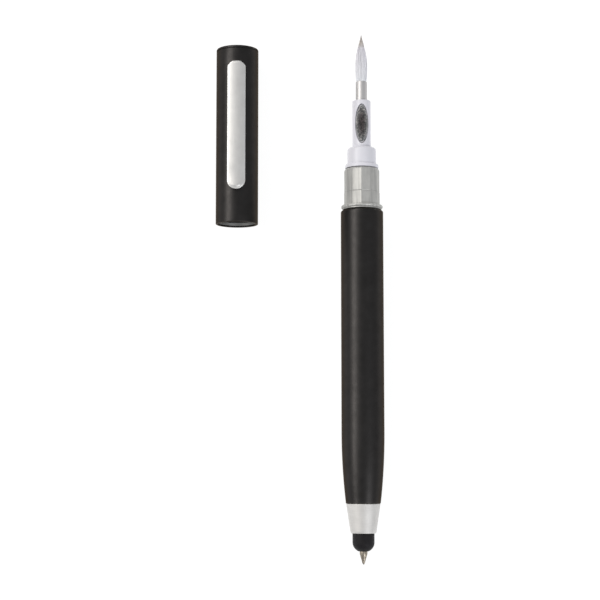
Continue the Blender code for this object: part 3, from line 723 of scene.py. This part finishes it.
def make_tool(axis, tip, material):
    """The white moulding: core, spigot, flange, collar and tube, with the pad's oval window."""
    front, back, radius = extent("tool_body", tip)
    profile = [
        (0.0, TOOL_CORE_END, 0.0),
        (TOOL_CORE_R, TOOL_CORE_END, 0.1),
        (TOOL_CORE_R, front, 0.0),
        (TOOL_SPIGOT_R, front, 0.1),
        (TOOL_SPIGOT_R, TOOL_FLANGE_BOTTOM, 0.0),
        (radius, TOOL_FLANGE_BOTTOM, 0.1),
        (radius, TOOL_FLANGE_TOP, 0.3),
        (TOOL_COLLAR_R, TOOL_FLANGE_TOP, 0.12),
        (TOOL_COLLAR_R, TOOL_COLLAR_TOP, 0.85),
        (TOOL_R, TOOL_COLLAR_TOP, 0.32),
        (TOOL_R, back, 0.18),
        (SOCKET_R, back, 0.05),
        (SOCKET_R, SOCKET_FLOOR, 0.0),
        (0.0, SOCKET_FLOOR, 0.0),
    ]
    shape = turned(soften(profile), axis, tip)
    piece = mesh_object("tool_skin", shape, "head", ["tool_body"], material)
    cut(piece, window_cutter(axis, centre_of("sponge_pad").y), "window")


def make_pad(axis):
    """The flocked pad: a domed, slightly uneven oval covered in short fibres."""
    low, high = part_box("sponge_pad")
    middle = centre_of("sponge_pad")
    half_x = (high.x - low.x) / 2 / MM
    half_y = (high.y - low.y) / 2 / MM
    bottom = low.z / MM
    crown = high.z / MM - axis.z
    rng = random.Random(SEED)
    spokes = 72
    levels = 16
    rings = [[(axis.x, middle.y, bottom)] * spokes]
    rings.append(oval_ring(axis.x, middle.y, bottom, half_x * 0.97, half_y * 0.985, spokes))
    for k in range(levels + 1):
        share = 1 - k / levels
        ring = []
        for i in range(spokes):
            angle = 2 * math.pi * i / spokes
            x = half_x * share * math.cos(angle)
            y = half_y * share * math.sin(angle)
            edge = min(1.0, (1 - share) / 0.16)
            soft = PAD_EDGE_DROP * (1 - math.sqrt(1 - (1 - edge) ** 2))
            rough = rng.uniform(-0.035, 0.02) if 0 < k < levels else 0.0
            z = axis.z + math.sqrt(crown**2 - x**2) - PAD_BASE_DEPTH - soft + rough
            ring.append((axis.x + x, middle.y + y, z))
        rings.append(ring)
    shape = loft(rings, closed=False)
    for _ in range(FIBRE_COUNT):
        add_fibre(shape, rng, axis, middle.y, half_x, half_y, crown)
    material = pad_flock(middle, half_x, half_y)
    piece = mesh_object("pad_skin", shape, "head", ["sponge_pad"], material, sharp=80)


def oval_ring(x, y, z, half_x, half_y, count):
    """Points round a level oval."""
    ring = []
    for i in range(count):
        angle = 2 * math.pi * i / count
        ring.append((x + half_x * math.cos(angle), y + half_y * math.sin(angle), z))
    return ring


def add_fibre(shape, rng, axis, middle_y, half_x, half_y, crown):
    """One short flock fibre, a thin three-sided spike leaning a little from upright."""
    share = math.sqrt(rng.random()) * 0.97
    angle = rng.uniform(0, 2 * math.pi)
    x = half_x * share * math.cos(angle)
    y = half_y * share * math.sin(angle)
    soft = PAD_EDGE_DROP * max(0.0, (share - 0.84) / 0.16) ** 2
    z = math.sqrt(crown**2 - x**2) - FIBRE_ROOT_DEPTH - soft
    up = Vector((x, 0, z + 0.4)).normalized()
    lean = Vector((rng.gauss(0, 0.35), rng.gauss(0, 0.35), rng.gauss(0, 0.2)))
    ahead = (up + lean).normalized()
    side = ahead.orthogonal().normalized()
    other = ahead.cross(side)
    root = Vector((axis.x + x, middle_y + y, axis.z + z))
    length = rng.uniform(0.12, 0.24)
    thick = rng.uniform(0.018, 0.03)
    base = []
    for i in range(3):
        around = 2 * math.pi * i / 3
        arm = (side * math.cos(around) + other * math.sin(around)) * thick
        base.append(shape.verts.new(root + arm))
    end = root + ahead * length
    end.z = min(end.z, axis.z + crown)
    point = shape.verts.new(end)
    shape.faces.new(base)
    for i in range(3):
        shape.faces.new((base[i], base[(i + 1) % 3], point))


def make_ferrule(axis, tip, material):
    """The plated tube that holds the tuft, on a thin stem."""
    front, back, radius = extent("brush_ferrule", tip)
    profile = [
        (0.0, front, 0.0),
        (STEM_R, front, 0.05),
        (STEM_R, FERRULE_BOTTOM, 0.0),
        (radius, FERRULE_BOTTOM, 0.08),
        (radius, back, 0.1),
        (FERRULE_BORE_R, back, 0.04),
        (FERRULE_BORE_R, FERRULE_FLOOR, 0.0),
        (0.0, FERRULE_FLOOR, 0.0),
    ]
    shape = turned(soften(profile), axis, tip, 96)
    mesh_object("ferrule_skin", shape, "head", ["brush_ferrule"], material)


def tuft_radius(station, root, rim, end):
    """The tuft's outline: straight in the ferrule, a soft belly, then in to a point."""
    if station < rim:
        return TUFT_ROOT_R
    if station < TUFT_BELLY:
        share = (station - rim) / (TUFT_BELLY - rim)
        swell = math.sin(share * math.pi / 2) ** TUFT_SWELL
        return TUFT_ROOT_R + (TUFT_R - TUFT_ROOT_R) * swell
    share = (station - TUFT_BELLY) / (end - TUFT_BELLY)
    return TUFT_R * max(0.0, 1 - share**2) ** TUFT_TAPER


def make_tuft(axis, tip, material):
    """Several hundred tapered filaments that gather to a soft point."""
    root, end, _ = extent("brush_bristles", tip)
    rim = extent("brush_ferrule", tip)[1]
    rng = random.Random(SEED)
    shape = bmesh.new()
    for i in range(FILAMENT_COUNT):
        spread = math.sqrt((i + 0.5) / FILAMENT_COUNT)
        angle = i * GOLDEN_ANGLE + rng.gauss(0, 0.05)
        short = 0.6 * spread**1.8 * (end - TUFT_BELLY)
        last = end - short - rng.random() ** 2 * (0.2 + 0.7 * spread)
        add_filament(shape, rng, axis, tip, root, rim, end, spread, angle, min(last, end - 0.02))
    mesh_object("tuft_filaments", shape, "head", ["brush_bristles"], material, sharp=80)


def add_filament(shape, rng, axis, tip, root, rim, end, spread, angle, last):
    """One filament from the root to its last station.

    spread is its place in the tuft, from 0 at the middle to 1 at the outside. Towards the point there
    is room for fewer filaments, so the outer ones keep to the outline there.
    """
    wander = rng.gauss(0, 0.03)
    twist = rng.gauss(0, 0.06)
    thickness = rng.uniform(0.045, 0.06)
    previous = None
    for k in range(FILAMENT_ROWS + 1):
        share = (k / FILAMENT_ROWS) ** 0.8
        station = root + (last - root) * share
        gathered = (end - station) / ((end - TUFT_BELLY) * GATHER_SPAN)
        present = max(0.02, min(1.0, gathered**GATHER_POWER))
        place = min(1.0, spread / present)
        radius = place * (tuft_radius(station, root, rim, end) - 0.05 * present)
        radius = max(0.0, radius + wander * share**2 * present)
        bearing = angle + twist * share
        x = axis.x + radius * math.cos(bearing)
        z = axis.z + radius * math.sin(bearing)
        thin = thickness * (1 - 0.5 * max(0.0, share - 0.55) / 0.45)
        ring = []
        for s in range(FILAMENT_SIDES):
            a = 2 * math.pi * s / FILAMENT_SIDES
            corner = (x + thin * math.cos(a), tip + station, z + thin * math.sin(a))
            ring.append(shape.verts.new(corner))
        if previous is None:
            shape.faces.new(ring)
        else:
            for s in range(FILAMENT_SIDES):
                t = (s + 1) % FILAMENT_SIDES
                shape.faces.new((previous[s], previous[t], ring[t], ring[s]))
        previous = ring
    shape.faces.new(previous)


# ---------------------------------------------------------------- the cap


def make_cap_shell(axis, mouth, material, bore_light_material):
    """The cap's tube, with a pale metal band just inside its mouth as painted light on the bore, and
    the clip's slot.
    """
    front, back, radius = extent("cap_shell", mouth)
    profile = [
        (radius, front, 0.16),
        (radius, back, 0.1),
        (radius - CAP_WALL, back, 0.0),
        (radius - CAP_WALL, front + PAINTED_LIGHT_BAND_END, 0.0),
        (radius - CAP_WALL, front + PAINTED_LIGHT_BAND_START, 0.0),
        (radius - CAP_WALL, front, 0.12),
    ]
    shape = turned(soften(profile), axis, mouth)
    piece = mesh_object("cap_skin", shape, "cap", ["cap_shell"], material)
    piece.data.materials.append(bore_light_material)
    for face in piece.data.polygons:
        arm = face.center - Vector((axis.x, 0, axis.z)) * MM
        inside = math.hypot(arm.x, arm.z) < (radius - CAP_WALL + 0.02) * MM
        depth = face.center.y / MM - mouth
        # Bore faces in the band get the pale metal: painted light where light falls into the mouth.
        if inside and PAINTED_LIGHT_BAND_START < depth < PAINTED_LIGHT_BAND_END:
            face.material_index = 1
    clip_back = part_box("pocket_clip")[1].y / MM
    cut(piece, slot_cutter(axis, clip_back), "clip_slot")


def slot_cutter(axis, clip_back):
    """The slot in the shell that the clip's tongue passes through, with rounded ends."""
    half_x = CLIP_SLOT_WIDTH / 2
    near = clip_back - CLIP_THICKNESS - CLIP_SLOT_FRONT_GAP
    far = clip_back + CLIP_SLOT_BACK_GAP
    corners = [(half_x, near), (half_x, far), (-half_x, far), (-half_x, near)]
    outline = soften([(x, y, CLIP_SLOT_CORNER_R) for x, y in corners])
    rings = []
    for z in (axis.z + 3.0, axis.z + 8.0):
        rings.append([(axis.x + x, y, z) for x, y in outline])
    shape = loft(rings, closed=False)
    shape.verts.ensure_lookup_table()
    shape.faces.new(shape.verts[: len(outline)])
    shape.faces.new(shape.verts[-len(outline) :])
    return shape


def make_cap_end(axis, mouth, material):
    """The plug in the cap's far end: a skirt inside the tube and a bevelled disc."""
    front, back, radius = extent("cap_end_plug", mouth)
    profile = [
        (0.0, back - PLUG_THICKNESS, 0.0),
        (PLUG_SKIRT_BORE_R, back - PLUG_THICKNESS, 0.2),
        (PLUG_SKIRT_BORE_R, front, 0.1),
        (PLUG_SKIRT_R, front, 0.15),
        (PLUG_SKIRT_R, back - PLUG_RIM, 0.0),
        (radius, back - PLUG_RIM, 0.06),
        (radius, back, 0.42),
        (0.0, back, 0.0),
    ]
    shape = turned(soften(profile), axis, mouth)
    mesh_object("cap_end_skin", shape, "cap", ["cap_end_plug"], material)


def clip_line(low, high):
    """The clip's centreline as (y, z) points, from the foot's end to the free end."""
    half = CLIP_THICKNESS / 2
    back = high.y / MM - half
    free = low.y / MM
    foot_z = low.z / MM + half
    top_z = high.z / MM - half
    corners = [
        (back - CLIP_FOOT_LENGTH, foot_z, 0.0),
        (back, foot_z, CLIP_FOOT_BEND_R),
        (back, top_z, CLIP_BEND_R),
        (back - CLIP_BEND_R - 0.05, top_z, 0.0),
    ]
    line = soften(corners, steps=10)
    round_r = CLIP_WIDTH / 2
    steps = 60
    start = back - CLIP_BEND_R - 0.05
    for i in range(1, steps + 1):
        line.append((start + (free + round_r - start) * i / steps, top_z))
    for i in range(1, 25):
        angle = math.radians(90 * i / 24)
        line.append((free + round_r * (1 - math.sin(angle)), top_z))
    return line


def clip_half_width(y, back, free):
    """Half the strip's width where its top is at y: round end, full width, then shoulders."""
    round_r = CLIP_WIDTH / 2
    if y < free + round_r:
        inset = (free + round_r - y) / round_r
        return round_r * math.sqrt(max(0.0, 1 - inset**2))
    share = min(1.0, max(0.0, back - y) / CLIP_SHOULDER)
    return CLIP_TONGUE / 2 + (round_r - CLIP_TONGUE / 2) * share


def clip_dip(y, dimple_y):
    """How far the shallow dimple lowers the strip."""
    offset = abs(y - dimple_y) / CLIP_DIMPLE_REACH
    if offset >= 1:
        return 0.0
    return CLIP_DIMPLE_DEPTH * (0.5 + 0.5 * math.cos(math.pi * offset))


def make_clip(axis, mouth, material):
    """The sprung strip: crowned top, rounded edges, shoulders, dimple and half-round end."""
    low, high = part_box("pocket_clip")
    line = clip_line(low, high)
    free = low.y / MM
    back = high.y / MM
    dimple_y = mouth + CLIP_DIMPLE_AT
    shares = (1.0, 0.985, 0.955, 0.91, 0.85, 0.7, 0.45, 0.2, 0.0)
    across = [-s for s in shares] + list(reversed(shares[:-1]))
    bend_z = high.z / MM - CLIP_THICKNESS / 2 - CLIP_BEND_R
    rings = []
    for i, (y, z) in enumerate(line):
        ahead = Vector(line[min(i + 1, len(line) - 1)])
        behind = Vector(line[max(i - 1, 0)])
        along = (ahead - behind).normalized()
        normal = Vector((along.y, -along.x))
        on_top_y = y + normal.x * CLIP_THICKNESS / 2
        half = clip_half_width(on_top_y, back, free) if z > bend_z else CLIP_TONGUE / 2
        dip = clip_dip(y, dimple_y)
        top = []
        under = []
        for share in across:
            x = half * share
            edge = half - abs(x)
            if y < free + CLIP_WIDTH / 2:
                from_end = CLIP_WIDTH / 2 - math.hypot(x, free + CLIP_WIDTH / 2 - y)
                edge = max(0.0, from_end)
            crown = CLIP_CROWN * (x / (CLIP_WIDTH / 2)) ** 2 + lip_drop(x, y, free)
            height = CLIP_THICKNESS / 2 - crown - rounding_drop(edge, CLIP_TOP_EDGE_R)
            depth = CLIP_THICKNESS / 2 - rounding_drop(edge, CLIP_UNDER_EDGE_R)
            raised = Vector((y, z - dip)) + normal * height
            lowered = Vector((y, z - dip)) - normal * depth
            top.append((axis.x + x, raised.x, raised.y))
            under.append((axis.x + x, lowered.x, lowered.y))
        rings.append(top + list(reversed(under)))
    shape = loft(rings, closed=False)
    shape.verts.ensure_lookup_table()
    shape.faces.new(shape.verts[: len(rings[0])])
    mesh_object("clip_skin", shape, "clip", ["pocket_clip"], material, sharp=40)


def lip_drop(x, y, free):
    """How far the rounded free end steps down to its lip."""
    round_r = CLIP_WIDTH / 2
    ahead = free + round_r - y
    if ahead <= 0:
        return 0.0
    out = math.hypot(x, ahead)
    share = min(1.0, max(0.0, (out - round_r + CLIP_LIP_WIDTH) / CLIP_LIP_BLEND))
    return CLIP_LIP_DROP * share * share * (3 - 2 * share) * (ahead / out) ** 2


def rounding_drop(edge, radius):
    """How far a rounded edge falls below the flat, at a distance in from the outline."""
    if edge >= radius:
        return 0.0
    return radius - math.sqrt(radius**2 - (radius - edge) ** 2)


# ---------------------------------------------------------------- hidden parts and the scene


def finish_cad_nodes(looks):
    """CAD nodes that keep their own mesh get a detailed material."""
    for material, names in looks:
        for name in names:
            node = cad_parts[name]
            for slot in node.material_slots:
                slot.link = "OBJECT"
                slot.material = material


def make_floor(floor_z):
    """A plain white surface, lit evenly enough that the object hardly shades it."""
    material, tree, shader = new_material(
        "pale_floor", Roughness=0.9, Specular_IOR_Level=0.1, Emission_Strength=0.92
    )
    shader.inputs["Emission Color"].default_value = (1.0, 1.0, 1.0, 1.0)
    tone = ramp(tree, noise(tree, size=60.0, detail=2.0), (0.3, 0.15), (0.7, 0.16))
    tree.links.new(tone, shader.inputs["Base Color"])
    shape = bmesh.new()
    half = FLOOR_SIZE / 2
    corners = [(-half, -half), (half, -half), (half, half), (-half, half)]
    shape.faces.new([shape.verts.new((x, y, floor_z)) for x, y in corners])
    floor = mesh_object("floor", shape, None, (), material)


def add_softbox(name, direction, distance, length, width, power, colour):
    """A rectangular light that faces the object's middle, its length along Y."""
    light = bpy.data.lights.new(name, "AREA")
    light.shape = "RECTANGLE"
    light.size = length
    light.size_y = width
    light.energy = power
    light.color = colour
    lamp = bpy.data.objects.new(name, light)
    away = Vector(direction).normalized()
    lamp.location = away * distance
    lamp.rotation_euler = away.to_track_quat("Z", "Y").to_euler()
    bpy.context.scene.collection.objects.link(lamp)


def make_lighting():
    """A long soft key light on the cap's side, a small soft fill on the other, and a pale room."""
    world = bpy.data.worlds.new("studio")
    world.use_nodes = True
    background = world.node_tree.nodes["Background"]
    background.inputs["Color"].default_value = (0.97, 0.98, 1.0, 1.0)
    background.inputs["Strength"].default_value = 0.42
    bpy.context.scene.world = world
    bpy.context.scene.view_settings.view_transform = "Standard"
    add_softbox("key", (-0.669, 0.35, 0.743), 1.2, 1.7, 0.36, 10.4, (1.0, 0.965, 0.92))
    add_softbox("fill", (0.56, -0.55, 0.72), 1.2, 0.4, 0.5, 4.6, (0.97, 0.98, 1.0))


def make_camera(axis_z):
    data = bpy.data.cameras.new("camera")
    data.lens = LENS
    data.sensor_width = 36.0
    data.clip_start = 0.01
    data.clip_end = 50.0
    camera = bpy.data.objects.new("camera", data)
    camera.location = Vector((CAMERA_SIDE, CAMERA_FORWARD, axis_z + CAMERA_HEIGHT)) * MM
    camera.rotation_euler = (math.radians(CAMERA_TILT), 0.0, math.radians(CAMERA_ROLL))
    bpy.context.scene.collection.objects.link(camera)
    bpy.context.scene.camera = camera


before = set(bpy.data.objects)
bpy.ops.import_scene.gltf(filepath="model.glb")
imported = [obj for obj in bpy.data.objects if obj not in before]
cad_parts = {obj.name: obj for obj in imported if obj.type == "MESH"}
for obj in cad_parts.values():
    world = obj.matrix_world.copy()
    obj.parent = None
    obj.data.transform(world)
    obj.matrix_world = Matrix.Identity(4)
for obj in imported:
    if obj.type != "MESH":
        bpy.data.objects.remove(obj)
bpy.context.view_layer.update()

pen_axis = centre_of("barrel_tube")
cap_axis = centre_of("cap_shell")
pen_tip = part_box("writing_ball")[0].y / MM
cap_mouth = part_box("cap_shell")[0].y / MM
tuft_root, tuft_end, _ = extent("brush_bristles", pen_tip)

anodised = black_anodised()
chrome = clip_chrome()
rubber = black_rubber()
steel = metal("steel", (0.5, 0.49, 0.48), (0.64, 0.63, 0.61), 0.2)
brass = metal("brass", (0.6, 0.45, 0.24), (0.74, 0.58, 0.32), 0.25)
nickel = metal("nickel_silver", (0.25, 0.22, 0.18), (0.4, 0.36, 0.3), 0.34, 0.16)
dark_plastic = moulded("black_plastic", (0.014, 0.014, 0.015), (0.024, 0.024, 0.025), 0.42)
pale_plastic = moulded("natural_plastic", (0.66, 0.65, 0.6), (0.76, 0.75, 0.7), 0.4)

make_barrel(pen_axis, pen_tip, anodised)
make_cone(pen_axis, pen_tip, satin_silver())
make_stylus_dome(pen_axis, pen_tip, rubber)
make_writing_point(pen_axis, pen_tip, nickel, steel)
make_grip(pen_axis, pen_tip, grey_plastic())
make_tool(pen_axis, pen_tip, white_plastic())
make_pad(pen_axis)
make_ferrule(pen_axis, pen_tip, ferrule_chrome())
make_tuft(pen_axis, pen_tip, nylon(pen_tip + tuft_end, pen_tip + tuft_root))
make_cap_shell(cap_axis, cap_mouth, anodised, painted_light_bore())
make_cap_end(cap_axis, cap_mouth, anodised)
make_clip(cap_axis, cap_mouth, chrome)
finish_cad_nodes(
    [
        (brass, ["nose_bush", "stylus_core"]),
        (steel, ["refill_tube", "return_spring"]),
        (rubber, ["friction_ring"]),
        (dark_plastic, ["mechanism_housing", "cap_liner"]),
        (
            pale_plastic,
            ["refill_plug", "cam_follower", "cam_sleeve", "thrust_washer", "pad_backing"],
        ),
    ]
)

make_floor(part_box("barrel_tube")[0].z / MM)
make_lighting()
make_camera(pen_axis.z)

bpy.context.view_layer.update()
